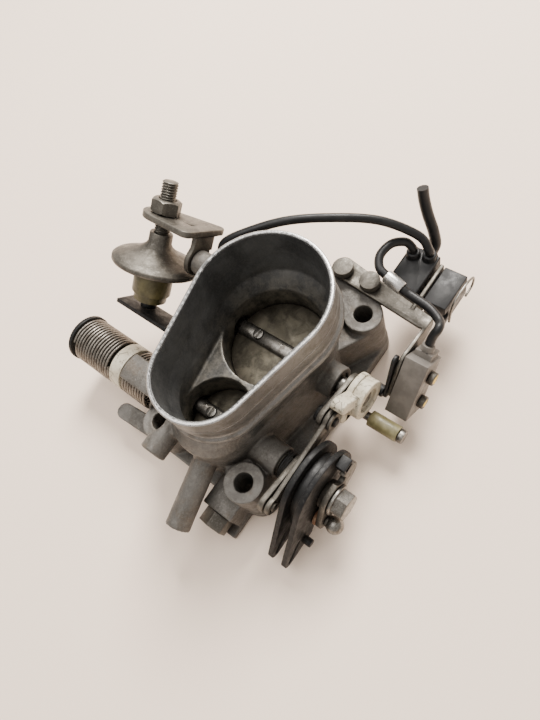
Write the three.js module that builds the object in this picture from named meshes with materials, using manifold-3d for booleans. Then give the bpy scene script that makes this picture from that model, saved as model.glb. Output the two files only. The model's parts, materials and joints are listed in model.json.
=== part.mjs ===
// Two-barrel throttle body with progressive linkage, damper and switches.
// Millimetres. +Z runs up the bores, +X points to the large barrel, and the cable linkage is on -Y.
// The origin lies on the mounting face, on the web between the two bores.
import * as THREE from 'three';
import { mergeVertices } from 'three/addons/utils/BufferGeometryUtils.js';
import Module from 'manifold-3d';

const wasm = await Module();
wasm.setup();

// ---- driving dimensions ----
const GAP = 0.3;
const FLANGE_TOP = 8;
const BOLT_X = [-36, 60];
const BOLT_Y = [-26.5, 26.5];
const BOLT_HOLE_R = 4.5;
const BOLT_HEAD_R = 8.4;
const BOSS_R = 9.5;
const BOSS_TOP = 32.5;
const COLLAR_TOP = 76;
const COLLAR_BIG = { x: 30, y: 0, r: 32 };
const COLLAR_SMALL = { x: -9.5, y: 0, r: 24 };
const WALL = 2;
const PRIMARY = { x: -18.5, z: 26, bore: 17.5 };
const SECONDARY = { x: 26, z: 28, bore: 25 };
const BARREL_WALL = 3.5;
const FUNNEL_FLOOR = 42;
const SHAFT_R = 4;
const BUSH_R = 5.7;
const RUNNING = 0.08;
const PLATE_T = 1.6;
const LINK_SIDE = -36.5;
const SPRING_SIDE = 36.5;

// ---- solids ----
function solid(geometry) {
  const bare = geometry.index ? geometry.toNonIndexed() : geometry.clone();
  bare.deleteAttribute('normal');
  bare.deleteAttribute('uv');
  const welded = mergeVertices(bare, 1e-4);
  const mesh = new wasm.Mesh({
    numProp: 3,
    vertProperties: new Float32Array(welded.attributes.position.array),
    triVerts: new Uint32Array(welded.index.array),
  });
  return new wasm.Manifold(mesh);
}

function geometryOf(body) {
  const mesh = body.getMesh();
  const geometry = new THREE.BufferGeometry();
  geometry.setAttribute('position', new THREE.BufferAttribute(new Float32Array(mesh.vertProperties), 3));
  geometry.setIndex(Array.from(mesh.triVerts));
  geometry.computeVertexNormals();
  return geometry;
}

function carve(parts, holes = []) {
  let body = solid(parts[0]);
  for (const part of parts.slice(1)) {
    body = body.add(solid(part));
  }
  for (const hole of holes) {
    body = body.subtract(solid(hole));
  }
  return geometryOf(body);
}

// ---- shapes ----
function hullOutline(a, b, turns = 64) {
  const points = [];
  for (let i = 0; i < turns; i += 1) {
    const angle = (i / turns) * 2 * Math.PI;
    const nx = Math.cos(angle);
    const ny = Math.sin(angle);
    const c = a.x * nx + a.y * ny + a.r > b.x * nx + b.y * ny + b.r ? a : b;
    points.push(new THREE.Vector2(c.x + c.r * nx, c.y + c.r * ny));
  }
  return points;
}

function slabZ(outline, z0, z1) {
  const shape = new THREE.Shape(outline);
  const geometry = new THREE.ExtrudeGeometry(shape, { depth: z1 - z0, bevelEnabled: false });
  return geometry.translate(0, 0, z0);
}

function slabY(outline, y0, y1) {
  return slabZ(outline, 0, y1 - y0).rotateX(Math.PI / 2).translate(0, y1, 0);
}

function rodZ(x, y, r, z0, z1, sides = 24) {
  const geometry = new THREE.CylinderGeometry(r, r, z1 - z0, sides);
  return geometry.rotateX(Math.PI / 2).translate(x, y, (z0 + z1) / 2);
}

function rodY(x, z, r, y0, y1, sides = 24) {
  return new THREE.CylinderGeometry(r, r, y1 - y0, sides).translate(x, (y0 + y1) / 2, z);
}

function rodX(y, z, r, x0, x1, sides = 24) {
  const geometry = new THREE.CylinderGeometry(r, r, x1 - x0, sides);
  return geometry.rotateZ(Math.PI / 2).translate((x0 + x1) / 2, y, z);
}

function block(x0, x1, y0, y1, z0, z1) {
  const geometry = new THREE.BoxGeometry(x1 - x0, y1 - y0, z1 - z0);
  return geometry.translate((x0 + x1) / 2, (y0 + y1) / 2, (z0 + z1) / 2);
}

function rodBetween(from, to, r, sides = 24) {
  const start = new THREE.Vector3(...from);
  const run = new THREE.Vector3(...to).sub(start);
  const geometry = new THREE.CylinderGeometry(r, r, run.length(), sides);
  const turn = new THREE.Quaternion().setFromUnitVectors(new THREE.Vector3(0, 1, 0), run.clone().normalize());
  const middle = start.addScaledVector(run, 0.5);
  return geometry.applyQuaternion(turn).translate(middle.x, middle.y, middle.z);
}

function circleShape(r, sides) {
  const points = [];
  for (let i = 0; i < sides; i += 1) {
    const angle = (i / sides) * 2 * Math.PI;
    points.push(new THREE.Vector2(r * Math.cos(angle), r * Math.sin(angle)));
  }
  return new THREE.Shape(points);
}

function sweep(curve, r, steps, sides = 8) {
  return new THREE.ExtrudeGeometry(circleShape(r, sides), { steps, extrudePath: curve, bevelEnabled: false });
}

function throughPoints(points) {
  return new THREE.CatmullRomCurve3(points.map((p) => new THREE.Vector3(...p)));
}

// A closed skin through level outlines that all have the same number of points.
function loft(levels) {
  const count = levels[0].outline.length;
  const positions = [];
  for (const level of levels) {
    for (const point of level.outline) {
      positions.push(point.x, point.y, level.z);
    }
  }
  const faces = [];
  for (let row = 0; row < levels.length - 1; row += 1) {
    for (let i = 0; i < count; i += 1) {
      const next = (i + 1) % count;
      const a = row * count + i;
      const b = row * count + next;
      faces.push(a, b, b + count, a, b + count, a + count);
    }
  }
  const top = (levels.length - 1) * count;
  for (let i = 1; i < count - 1; i += 1) {
    faces.push(0, i + 1, i, top, top + i, top + i + 1);
  }
  const geometry = new THREE.BufferGeometry();
  geometry.setAttribute('position', new THREE.Float32BufferAttribute(positions, 3));
  geometry.setIndex(faces);
  return geometry;
}

function grown(circle, by) {
  return { x: circle.x, y: circle.y, r: circle.r + by };
}

function eggLevel(z, big, small) {
  return { z, outline: hullOutline(big, small, 56) };
}

class Helix extends THREE.Curve {
  constructor(x, z, r, y0, y1, turns) {
    super();
    Object.assign(this, { x, z, r, y0, y1, turns });
  }

  getPoint(t, target = new THREE.Vector3()) {
    const angle = t * this.turns * 2 * Math.PI;
    const y = this.y0 + t * (this.y1 - this.y0);
    return target.set(this.x + this.r * Math.cos(angle), y, this.z + this.r * Math.sin(angle));
  }
}

function coil(x, z, r, wire, y0, y1, turns, stepsPerTurn = 10, sides = 5) {
  const path = new Helix(x, z, r, y0 + wire, y1 - wire, turns);
  return sweep(path, wire, Math.round(turns * stepsPerTurn), sides);
}

// ---- looks of the bare model ----
function look(color, roughness, metalness) {
  return new THREE.MeshStandardMaterial({ color, roughness, metalness });
}

const LOOKS = {
  castAluminium: look(0x77726a, 0.6, 0.7),
  steel: look(0x8c8880, 0.4, 0.9),
  blackSteel: look(0x24262a, 0.5, 0.6),
  zinc: look(0x6d6a5c, 0.5, 0.8),
  rustySteel: look(0x6b4a36, 0.8, 0.5),
  brassPlate: look(0x8a8164, 0.5, 0.7),
  cream: look(0xcfc6a8, 0.6, 0),
  olive: look(0x8c8458, 0.4, 0),
  blackPlastic: look(0x1b1c1e, 0.5, 0),
  greyPlastic: look(0x57534e, 0.6, 0),
  rubber: look(0x101112, 0.7, 0),
};

const group = new THREE.Group();

function add(name, geometry, material) {
  const mesh = new THREE.Mesh(geometry, material);
  mesh.name = name;
  group.add(mesh);
  return mesh;
}

// ---- cast housing ----
const BARREL_BIG = { x: SECONDARY.x, y: 0, r: SECONDARY.bore + BARREL_WALL };
const BARREL_SMALL = { x: PRIMARY.x, y: 0, r: PRIMARY.bore + BARREL_WALL };
const POST = { x: 34.8, z: 60.8, end: 46 };
const LUG_BOLTS = [[74.8, -6.2], [74.2, -21.8]];
const LUG_TOP = 32.5;
const NOZZLE = { from: [-30, -2.5, 31], to: [-70, -9, 22.5], r: 6, bore: 4.4 };
const VACUUM_PLUG = { y: -18.4, z: 11.4 };
const SIDE_PORT = { y: 17, z: 37, r: 6.5, bore: 4.4, end: -50 };
const SPRING_AXIS = { x: -22.8, z: 25.4 };
const SPRING = { r: 11.6, wire: 0.8, pitch: 2.14 };
const SPRING_ARM = { inner: 12.8, outer: 14.4, end: 58.8 };

function outerSkin() {
  const neck = -1.4;
  const bead = 0.8;
  return loft([
    eggLevel(0, BARREL_BIG, BARREL_SMALL),
    eggLevel(FUNNEL_FLOOR + 1, BARREL_BIG, BARREL_SMALL),
    eggLevel(52, grown(COLLAR_BIG, neck), grown(COLLAR_SMALL, neck)),
    eggLevel(53, grown(COLLAR_BIG, bead), grown(COLLAR_SMALL, bead)),
    eggLevel(55.5, grown(COLLAR_BIG, bead), grown(COLLAR_SMALL, bead)),
    eggLevel(56.5, grown(COLLAR_BIG, -0.8), grown(COLLAR_SMALL, -0.8)),
    eggLevel(60, grown(COLLAR_BIG, -0.8), grown(COLLAR_SMALL, -0.8)),
    eggLevel(61, COLLAR_BIG, COLLAR_SMALL),
    eggLevel(COLLAR_TOP - 0.6, COLLAR_BIG, COLLAR_SMALL),
    eggLevel(COLLAR_TOP, grown(COLLAR_BIG, -0.5), grown(COLLAR_SMALL, -0.5)),
  ]);
}

function funnel() {
  const big = grown(BARREL_BIG, -BARREL_WALL);
  const small = grown(BARREL_SMALL, -BARREL_WALL);
  return loft([
    eggLevel(FUNNEL_FLOOR, big, small),
    eggLevel(50, grown(COLLAR_BIG, -WALL - 1.8), grown(COLLAR_SMALL, -WALL - 1.8)),
    eggLevel(60, grown(COLLAR_BIG, -WALL - 0.4), grown(COLLAR_SMALL, -WALL - 0.4)),
    eggLevel(COLLAR_TOP + 1, grown(COLLAR_BIG, -WALL), grown(COLLAR_SMALL, -WALL)),
  ]);
}

function flangePlate() {
  const corner = BOSS_R + 0.5;
  const shape = new THREE.Shape();
  const [x0, x1] = BOLT_X;
  const [y0, y1] = BOLT_Y;
  shape.absarc(x1, y1, corner, 0, Math.PI / 2, false);
  shape.absarc(x0, y1, corner, Math.PI / 2, Math.PI, false);
  shape.absarc(x0, y0, corner, Math.PI, Math.PI * 1.5, false);
  shape.absarc(x1, y0, corner, Math.PI * 1.5, Math.PI * 2, false);
  return new THREE.ExtrudeGeometry(shape, { depth: FLANGE_TOP, bevelEnabled: false, curveSegments: 6 });
}

// The cast tongue that shrouds the top of the inner return spring.
function springArm() {
  const shape = new THREE.Shape();
  const from = THREE.MathUtils.degToRad(62);
  const to = THREE.MathUtils.degToRad(122);
  shape.absarc(SPRING_AXIS.x, SPRING_AXIS.z, SPRING_ARM.outer, from, to, false);
  shape.absarc(SPRING_AXIS.x, SPRING_AXIS.z, SPRING_ARM.inner, to, from, true);
  const length = SPRING_ARM.end - 31;
  const geometry = new THREE.ExtrudeGeometry(shape, { depth: length, bevelEnabled: false, curveSegments: 8 });
  return geometry.rotateX(Math.PI / 2).translate(0, SPRING_ARM.end, 0);
}

function housing() {
  const parts = [outerSkin(), flangePlate()];
  for (const x of BOLT_X) {
    for (const y of BOLT_Y) {
      const inwards = x > 0 ? -16 : 14;
      const root = { x: x + inwards, y: y * 0.6, r: 11 };
      parts.push(slabZ(hullOutline({ x, y, r: BOSS_R }, root, 28), 0, BOSS_TOP - 4));
      parts.push(rodZ(x, y, BOSS_R, 0, BOSS_TOP, 28));
    }
  }
  parts.push(rodY(PRIMARY.x, PRIMARY.z, 8, -34.5, 0, 24));
  parts.push(rodY(PRIMARY.x, PRIMARY.z, 8.5, 0, SPRING_SIDE, 24));
  parts.push(rodY(SPRING_AXIS.x, SPRING_AXIS.z, SPRING_ARM.outer, 24, SPRING_SIDE - 1, 24));
  parts.push(rodY(SECONDARY.x, SECONDARY.z, 8.5, -36, 33, 24));
  parts.push(springArm());
  parts.push(slabZ(hullOutline({ x: 76, y: -5, r: 5.6 }, { x: 56, y: -8, r: 12 }, 28), 20, LUG_TOP));
  parts.push(slabZ(hullOutline({ x: 74, y: -22, r: 5.4 }, { x: 56, y: -8, r: 12 }, 28), 20, LUG_TOP));
  parts.push(rodBetween(NOZZLE.from, NOZZLE.to, NOZZLE.r, 24));
  parts.push(rodX(SIDE_PORT.y, SIDE_PORT.z, SIDE_PORT.r, SIDE_PORT.end, -20, 24));
  parts.push(block(-38, -22, -4, 18, 24, 42));
  parts.push(rodY(POST.x, POST.z, 6, 20, POST.end, 24));
  parts.push(slabZ(hullOutline({ x: -43, y: 58, r: 4.5 }, { x: -41, y: 30, r: 5 }, 24), 6, 16));
  parts.push(block(-54, -36, -27, -10, 0, 19));
  parts.push(block(-60, -46, -28, -19, 0, 3.4));
  const holes = [funnel()];
  holes.push(rodZ(SECONDARY.x, 0, SECONDARY.bore, -1, FUNNEL_FLOOR + 0.5, 48));
  holes.push(rodZ(PRIMARY.x, 0, PRIMARY.bore, -1, FUNNEL_FLOOR + 0.5, 48));
  holes.push(rodY(PRIMARY.x, PRIMARY.z, BUSH_R + GAP, -40, 40, 24));
  holes.push(rodY(SECONDARY.x, SECONDARY.z, BUSH_R + GAP, -40, 40, 24));
  for (const x of BOLT_X) {
    for (const y of BOLT_Y) {
      holes.push(rodZ(x, y, BOLT_HOLE_R, -1, BOSS_TOP + 1, 24));
      holes.push(rodZ(x, y, BOLT_HEAD_R, BOSS_TOP, 47, 24));
    }
  }
  for (const [x, y] of LUG_BOLTS) {
    holes.push(rodZ(x, y, 2.9, 22, LUG_TOP + 1, 20));
  }
  const inner = new THREE.Vector3(...NOZZLE.to).lerp(new THREE.Vector3(...NOZZLE.from), 0.75).toArray();
  const beyond = new THREE.Vector3(...NOZZLE.to).lerp(new THREE.Vector3(...NOZZLE.from), -0.05).toArray();
  holes.push(rodBetween(inner, beyond, NOZZLE.bore, 28));
  holes.push(rodX(SIDE_PORT.y, SIDE_PORT.z, SIDE_PORT.bore, SIDE_PORT.end - 1, -36, 28));
  holes.push(rodY(POST.x, POST.z, 2.8, 36, POST.end + 1, 20));
  holes.push(rodX(VACUUM_PLUG.y, VACUUM_PLUG.z, 4.4, -55, -42, 24));
  return carve(parts, holes);
}

add('housing', housing(), LOOKS.castAluminium);

add('vacuum_port_plug', carve([
  rodX(VACUUM_PLUG.y, VACUUM_PLUG.z, 4, -54.6, -42.5, 24),
  rodX(VACUUM_PLUG.y, VACUUM_PLUG.z, 7.4, -61.6, -54 - GAP, 6),
]), LOOKS.zinc);

// ---- throttle shafts, plates and bushes ----
function bush(barrel, y0, y1) {
  return carve([rodY(barrel.x, barrel.z, BUSH_R, y0, y1, 24)],
    [rodY(barrel.x, barrel.z, SHAFT_R + RUNNING, y0 - 1, y1 + 1, 24)]);
}

function shaft(barrel, y0, y1) {
  const slot = barrel.bore - 0.1;
  const holes = [block(barrel.x - 5, barrel.x + 5, -slot, slot, barrel.z - 1.1, barrel.z + 1.1)];
  for (const side of [-1, 1]) {
    const y = (side * barrel.bore) / 2;
    holes.push(rodZ(barrel.x, y, 1.9, barrel.z - 5, barrel.z + 5, 12));
    holes.push(rodZ(barrel.x, y, 2.9, barrel.z + 2.6, barrel.z + 5, 12));
  }
  return carve([rodY(barrel.x, barrel.z, SHAFT_R, y0, y1, 24)], holes);
}

function throttlePlate(barrel) {
  const disc = rodZ(barrel.x, 0, barrel.bore - GAP, barrel.z - PLATE_T / 2, barrel.z + PLATE_T / 2, 48);
  const holes = [-1, 1].map((side) => rodZ(barrel.x, (side * barrel.bore) / 2, 1.9, barrel.z - 2, barrel.z + 2, 16));
  return carve([disc], holes);
}

function plateScrew(barrel, side) {
  const y = (side * barrel.bore) / 2;
  return carve([
    rodZ(barrel.x, y, 1.6, barrel.z - 4.4, barrel.z + 3.2, 16),
    rodZ(barrel.x, y, 2.6, barrel.z + 2.9, barrel.z + 4.3, 16),
  ], [block(barrel.x - 3, barrel.x + 3, y - 0.35, y + 0.35, barrel.z + 3.8, barrel.z + 5)]);
}

add('primary_shaft', shaft(PRIMARY, -66, 102), LOOKS.steel);
add('secondary_shaft', shaft(SECONDARY, -50, 24), LOOKS.steel);
add('primary_plate', throttlePlate(PRIMARY), LOOKS.brassPlate);
add('secondary_plate', throttlePlate(SECONDARY), LOOKS.brassPlate);
for (const [name, barrel] of [['primary', PRIMARY], ['secondary', SECONDARY]]) {
  add(`${name}_plate_screw_1`, plateScrew(barrel, -1), LOOKS.steel);
  add(`${name}_plate_screw_2`, plateScrew(barrel, 1), LOOKS.steel);
  add(`${name}_bush_link_side`, bush(barrel, LINK_SIDE + 1.5, -barrel.bore - 1.5), LOOKS.zinc);
  add(`${name}_bush_spring_side`, bush(barrel, barrel.bore + 1.5, 32.5), LOOKS.zinc);
}

// ---- cable pulley on the primary shaft ----
const PULLEY_R = 20;
const PULLEY_TAIL = { x: PRIMARY.x - 33.5, y: PRIMARY.z - 18, r: 3.6 };
const REAR_PLATE = [-50, -47.4];
const FRONT_PLATE = [-57.6, -55];
const ON_PRIMARY = { x: PRIMARY.x, y: PRIMARY.z };
const SHAFT_FIT = SHAFT_R + GAP;

function primaryCircle(r) {
  return { ...ON_PRIMARY, r };
}

function primaryHole(y0, y1) {
  return rodY(PRIMARY.x, PRIMARY.z, SHAFT_FIT, y0, y1, 24);
}

function sectorPlate([y0, y1]) {
  const body = slabY(hullOutline(primaryCircle(PULLEY_R), PULLEY_TAIL, 48), y0, y1);
  const slotEnd = { x: PULLEY_TAIL.x + 9, y: PULLEY_TAIL.y + 6.4, r: 1.2 };
  const slot = slabY(hullOutline({ ...PULLEY_TAIL, r: 1.2 }, slotEnd, 16), y0 - 1, y1 + 1);
  const lower = { x: PRIMARY.x - 6, y: PRIMARY.z - 27, r: 12.5 };
  const relief = slabY(hullOutline(lower, { x: PRIMARY.x + 24, y: PRIMARY.z - 22, r: 14 }, 28), y0 - 1, y1 + 1);
  return carve([body], [slot, relief, primaryHole(y0 - 1, y1 + 1)]);
}

add('pulley_rear_plate', sectorPlate(REAR_PLATE), LOOKS.blackSteel);
add('pulley_front_plate', sectorPlate(FRONT_PLATE), LOOKS.blackSteel);
add('pulley_core', carve([
  slabY(hullOutline(primaryCircle(15.5), { ...PULLEY_TAIL, x: PULLEY_TAIL.x + 16, y: PULLEY_TAIL.y + 11, r: 2 }, 48),
    FRONT_PLATE[1] + GAP, REAR_PLATE[0] - GAP),
], [
  slabY(hullOutline({ x: PRIMARY.x - 6, y: PRIMARY.z - 26, r: 14.5 },
    { x: PRIMARY.x + 22, y: PRIMARY.z - 22, r: 14.5 }, 28), -60, -45),
  primaryHole(-60, -45),
]), LOOKS.blackPlastic);
add('cable_end_pin', rodY(PULLEY_TAIL.x + 12, PULLEY_TAIL.y + 3.6, 2, -62, FRONT_PLATE[0] - GAP, 16), LOOKS.blackSteel);

// ---- levers clamped in front of the pulley ----
const BALL = { x: -27.5, z: 17 };
const CLAMP_Y = [-62.6, -60];

add('throttle_lever', carve([
  rodY(PRIMARY.x, PRIMARY.z, 7, CLAMP_Y[0], FRONT_PLATE[0] - GAP, 24),
  slabY(hullOutline(primaryCircle(8.5), { x: BALL.x, y: BALL.z, r: 5 }, 28), ...CLAMP_Y),
  slabY(hullOutline(primaryCircle(8.5), { x: -6, y: 29, r: 5.4 }, 28), ...CLAMP_Y),
], [
  rodY(BALL.x, BALL.z, 2.3, -64, -58, 16),
  primaryHole(-64, -56),
  slabY(hullOutline({ x: -13, y: 37, r: 2.2 }, { x: -11, y: 32, r: 2.2 }, 24), -64, -58),
]), LOOKS.zinc);
add('ball_stud', carve([
  rodY(BALL.x, BALL.z, 2, -63.5, -58.6, 16),
  rodY(BALL.x, BALL.z, 3, -65, CLAMP_Y[0] - GAP, 20),
  new THREE.SphereGeometry(4.2, 16, 10).translate(BALL.x, -67, BALL.z),
]), LOOKS.steel);
add('ball_stud_washer', carve([rodY(BALL.x, BALL.z, 5.2, CLAMP_Y[1] + GAP, -58.2, 24)],
  [rodY(BALL.x, BALL.z, 2.3, -61, -57, 16)]), LOOKS.rustySteel);
add('lever_stop_pad', carve([
  block(-8.4, -2, -63, -58, 34.8, 39.6),
], [block(-7, -3.4, -64, -57, 36.2, 38.6)]), LOOKS.blackPlastic);
add('shaft_nut', carve([
  rodY(PRIMARY.x, PRIMARY.z, 6.6, -70, -64, 6),
  rodY(PRIMARY.x, PRIMARY.z, 7.4, -64.4, CLAMP_Y[0] - GAP, 24),
], [primaryHole(-67, -62)]), LOOKS.steel);

// ---- progressive link between the two shafts ----
const ARM = { x: -18, z: 8 };
const LEVER_Y = [-42, -39.4];
const LINK_Y = [-44.8, -42.6];
const PIN_R = 2.2;

function crank(barrel) {
  const pin = { x: barrel.x + ARM.x, y: barrel.z + ARM.z, r: 5 };
  const hub = { x: barrel.x, y: barrel.z, r: 8 };
  const holes = [rodY(barrel.x, barrel.z, SHAFT_FIT, -44, -36, 24)];
  return { pin, parts: [slabY(hullOutline(hub, pin, 28), ...LEVER_Y)], holes };
}

const primaryCrank = crank(PRIMARY);
const secondaryCrank = crank(SECONDARY);
const ROLLER = { x: 22.5, z: 15 };
secondaryCrank.parts.push(slabY(hullOutline({ x: SECONDARY.x, y: SECONDARY.z, r: 8 },
  { x: ROLLER.x, y: ROLLER.z, r: 4.5 }, 28), ...LEVER_Y));
secondaryCrank.holes.push(rodY(ROLLER.x, ROLLER.z, 2.5, -44, -38, 16));
secondaryCrank.holes.push(rodY(secondaryCrank.pin.x, secondaryCrank.pin.y, PIN_R + GAP, -44, -38, 16));
primaryCrank.parts.push(rodY(primaryCrank.pin.x, primaryCrank.pin.y, PIN_R, -45.6, LEVER_Y[1], 16));
add('primary_crank', carve(primaryCrank.parts, primaryCrank.holes), LOOKS.zinc);
add('secondary_crank', carve(secondaryCrank.parts, secondaryCrank.holes), LOOKS.zinc);

function pivotPin({ x, y }) {
  return carve([
    rodY(x, y, 4, LEVER_Y[1] + GAP, -37.4, 20),
    rodY(x, y, PIN_R, -47.4, LEVER_Y[1] + GAP + 0.2, 16),
  ]);
}

add('secondary_link_pin', pivotPin(secondaryCrank.pin), LOOKS.blackSteel);
add('secondary_link_washer', carve([
  rodY(secondaryCrank.pin.x, secondaryCrank.pin.y, 4.8, -46.4, LINK_Y[0] - GAP, 24),
], [rodY(secondaryCrank.pin.x, secondaryCrank.pin.y, PIN_R + GAP, -48, -44, 16)]), LOOKS.zinc);

function progressiveLink() {
  const a = { ...primaryCrank.pin, r: 4.4 };
  const b = { ...secondaryCrank.pin, r: 4.8 };
  const waistA = { x: a.x, y: a.y, r: 3 };
  const waistB = { x: b.x, y: b.y, r: 3 };
  return carve([
    slabY(hullOutline(waistA, waistB, 24), ...LINK_Y),
    rodY(a.x, a.y, a.r, ...LINK_Y, 28),
    rodY(b.x, b.y, b.r, ...LINK_Y, 28),
  ], [
    rodY(a.x, a.y, PIN_R + GAP, -46, -41, 16),
    rodY(b.x, b.y, PIN_R + GAP, -46, -41, 16),
  ]);
}

add('progressive_link', progressiveLink(), LOOKS.zinc);
add('link_spring', coil(PRIMARY.x, PRIMARY.z, 6.6, 0.6, -39, -34.8, 3), LOOKS.blackSteel);

// ---- switch cam and roller on the secondary shaft ----
const CAM_Y = [-51.5, -43];

add('secondary_cam', carve([
  rodY(SECONDARY.x, SECONDARY.z, 10, ...CAM_Y, 28),
  slabY(hullOutline({ x: SECONDARY.x, y: SECONDARY.z, r: 10.5 }, { x: 17, y: 26, r: 6 }, 28), -46, CAM_Y[1]),
  slabY(hullOutline({ x: 20, y: 36, r: 3 }, { x: 14, y: 43, r: 3 }, 24), -49.5, CAM_Y[1]),
], [rodY(SECONDARY.x, SECONDARY.z, SHAFT_FIT, -53, -42, 24),
  rodY(SECONDARY.x, SECONDARY.z, 6.4, -52, -49.6, 24)]), LOOKS.cream);
add('roller_pin', carve([
  rodY(ROLLER.x, ROLLER.z, 2.2, -70, -38.4, 16),
  rodY(ROLLER.x, ROLLER.z, 3.4, -71, -68.4, 20),
  rodY(ROLLER.x, ROLLER.z, 2.7, -44.4, LEVER_Y[0] - GAP, 20),
]), LOOKS.steel);
add('roller_sleeve', carve([rodY(ROLLER.x, ROLLER.z, 4, -68.1, -53, 24)],
  [rodY(ROLLER.x, ROLLER.z, 2.28, -69, -52, 16)]), LOOKS.olive);

// ---- damper lever and return springs on the primary shaft ----
const DAMPER = { x: 43.9, y: 70, z: 73.1, tilt: THREE.MathUtils.degToRad(47.8) };

function onDamper(geometry) {
  return geometry.rotateY(DAMPER.tilt).translate(DAMPER.x, DAMPER.y, DAMPER.z);
}

const TAB = { top: -49.6, thick: 2.2, c0: -9, c1: 5, end: 84 };
const LEVER_SHEET = [37.2, 39.6];

function damperTab() {
  const y0 = LEVER_SHEET[0] - DAMPER.y;
  return onDamper(block(TAB.c0, TAB.c1, y0, TAB.end - DAMPER.y, TAB.top - TAB.thick, TAB.top));
}

add('damper_lever', carve([
  slabY(hullOutline(primaryCircle(8), { x: 2.4, y: 38.8, r: 6 }, 28), ...LEVER_SHEET),
  damperTab(),
], [
  onDamper(block(-20, 20, -40, 30, TAB.top, TAB.top + 20)),
  primaryHole(36, 41),
]), LOOKS.blackSteel);

function returnSpring(y0, y1) {
  const turns = Math.round((y1 - y0 - 2 * SPRING.wire) / SPRING.pitch);
  return coil(SPRING_AXIS.x, SPRING_AXIS.z, SPRING.r, SPRING.wire, y0, y1, turns);
}

function springRound(r, y0, y1) {
  return rodY(SPRING_AXIS.x, SPRING_AXIS.z, r, y0, y1, 32);
}

add('inner_return_spring', returnSpring(41, 60.2), LOOKS.steel);
add('spring_bush', carve([springRound(12.4, 60.6, 68.2)], [primaryHole(59, 70)]), LOOKS.cream);
add('outer_return_spring', returnSpring(68.6, 98.4), LOOKS.steel);
add('spring_drum', carve([springRound(10.3, 68.6, 99), springRound(13, 98.8, 101)], [primaryHole(66, 103)]),
  LOOKS.blackSteel);

// ---- damper and its bracket ----
function damperRod(r, z0, z1, sides = 24) {
  return rodZ(0, 0, r, z0, z1, sides);
}

function canProfile() {
  const profile = [[0, -9.4], [5.4, -9.4], [5.8, -15], [10, -18.6], [21, -23.8], [21.8, -24.8]];
  profile.push([21.8, -26], [20.8, -27], [10, -28.4], [0, -28.4]);
  return profile.reverse().map(([r, z]) => new THREE.Vector2(r, z));
}

function damperBracket() {
  const eye = { x: 0, y: 0, r: 10.5 };
  const left = { x: -6, y: -20, r: 4 };
  const right = { x: 15, y: -20, r: 4 };
  const parts = [
    slabZ(hullOutline(eye, left, 28), -3, 0),
    slabZ(hullOutline(eye, right, 28), -3, 0),
    slabZ(hullOutline(left, right, 28), -3, 0),
    slabY(hullOutline({ x: 3, y: -15, r: 7.5 }, { x: 4.5, y: -3.8, r: 3.8 }, 28), -23.7, -21),
    block(-2, 11, -23.7, -21, -10, -0.1),
  ];
  const post = rodY(3, -15, 2.8, -25, -19, 20);
  return onDamper(carve(parts, [rodZ(0, 0, 4.3, -5, 2, 24), post]));
}

add('damper_bracket', damperBracket(), LOOKS.zinc);
add('damper_bracket_screw', carve([
  rodY(POST.x, POST.z, 2.4, 37, 49.6, 16),
  rodY(POST.x, POST.z, 4, 49 + GAP, 52, 6),
]), LOOKS.steel);
add('damper_locknut', onDamper(carve([damperRod(7.5, GAP, 7.2, 6)], [damperRod(4.3, 0, 8, 24)])), LOOKS.zinc);
add('damper_can', onDamper(carve([
  new THREE.LatheGeometry(canProfile(), 28).rotateX(Math.PI / 2),
  damperRod(4, -12, 15.6, 24),
], [damperRod(3.4, -30, -14, 20)])), LOOKS.zinc);
add('damper_sleeve', onDamper(carve([
  damperRod(9.8, -41, -28.7, 24),
  damperRod(8.4, -45, -40.6, 24),
], [damperRod(3.4, -46, -28, 20)])), LOOKS.olive);
add('damper_plunger', onDamper(carve([
  damperRod(3, -47, -22, 20),
  damperRod(4.2, TAB.top + GAP, -46.4, 20),
])), LOOKS.blackPlastic);

// ---- full-load switch, its bracket and the connector arm ----
const STRIP = [32.8, 34.8];
const SWITCH_TAB = [-56.4, -54.6];
const SWITCH = { x: 48.5, z: 40, length: 30, depth: 15, y0: -68, y1: -56.8 };
const SWITCH_TURN = Math.atan2(0.66, 0.75);

// Local +X runs through the switch's depth and local -Z runs down its length.
function onSwitch(geometry) {
  return geometry.rotateY(SWITCH_TURN).translate(SWITCH.x, 0, SWITCH.z);
}

const SWITCH_SCREWS = [[8, -8], [8.4, -21.5]];

function switchBracket() {
  const tab = [
    slabY(hullOutline({ x: 69.4, y: 31, r: 3.4 }, { x: 50, y: 30, r: 8 }, 24), ...SWITCH_TAB),
    slabY(hullOutline({ x: 50, y: 30, r: 8 }, { x: 41, y: 20, r: 6 }, 24), ...SWITCH_TAB),
  ];
  const strip = slabZ(hullOutline({ x: 76.4, y: -4.6, r: 5.8 }, { x: 69.4, y: -52.6, r: 3.8 }, 28), ...STRIP);
  const arm = block(72, 99, -46.6, -44.8, 22, 35);
  const holes = LUG_BOLTS.map(([x, y]) => rodZ(x, y, 2.9, 30, 36, 20));
  for (const [x, z] of SWITCH_SCREWS) {
    holes.push(onSwitch(rodY(x, z, 1.9, -58, -53, 16)));
  }
  return carve([strip, block(65.8, 73, -56.4, -52, ...STRIP), arm, ...tab], holes);
}

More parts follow.
